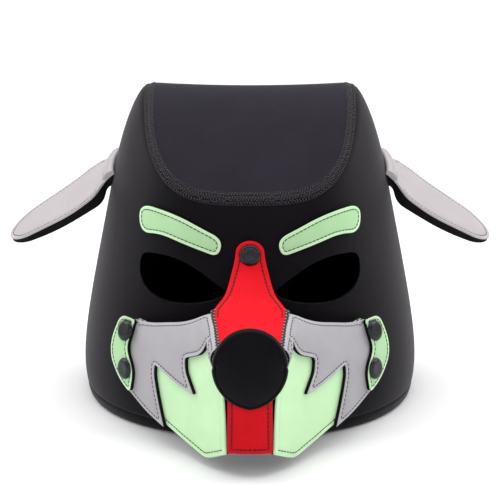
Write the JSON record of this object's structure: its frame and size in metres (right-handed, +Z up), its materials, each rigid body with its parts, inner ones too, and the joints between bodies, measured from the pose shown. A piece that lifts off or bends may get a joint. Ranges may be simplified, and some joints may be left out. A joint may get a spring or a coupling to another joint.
{
  "type": "canine hood mask",
  "caption": "Full-head canine hood mask of sewn foam-rubber sheet, with drooping ears, brow patches, teardrop eye holes and a hollow muzzle held on by snap caps",
  "frame": {"origin": "Under the middle of the whole outline, on the surface that the hem stands on", "axes": "+X towards the wearer's left, -Y forwards along the muzzle, +Z up to the crown"},
  "size_m": [0.3632, 0.3326, 0.232],
  "materials": {
    "hood_sheet": "matte jersey-faced foam rubber",
    "crown_sheet": "matte jersey-faced foam rubber",
    "green_sheet": "matte jersey-faced foam rubber",
    "red_sheet": "matte jersey-faced foam rubber",
    "grey_sheet": "matte jersey-faced foam rubber",
    "black_core": "bare cut foam rubber",
    "nose_sheet": "smooth matte foam rubber",
    "snap_cap": "semi-gloss black"
  },
  "bodies": {
    "root": {"face_panel": "hood_sheet", "crown_panel": "crown_sheet", "brow_left": "green_sheet", "brow_right": "green_sheet", "muzzle_side_left": "green_sheet", "muzzle_side_right": "green_sheet", "muzzle_flame_left": "grey_sheet", "muzzle_flame_right": "grey_sheet", "cheek_tab_left": "green_sheet", "cheek_tab_right": "green_sheet", "upper_snap_left": "snap_cap", "upper_snap_right": "snap_cap", "lower_snap_left": "snap_cap", "lower_snap_right": "snap_cap", "muzzle_bridge": "red_sheet", "bridge_snap": "snap_cap", "chin_strip": "red_sheet", "nose": "nose_sheet", "ear_back_left": "black_core", "ear_back_right": "black_core", "ear_face_left": "grey_sheet", "ear_face_right": "grey_sheet"}
  },
  "joints": []
}
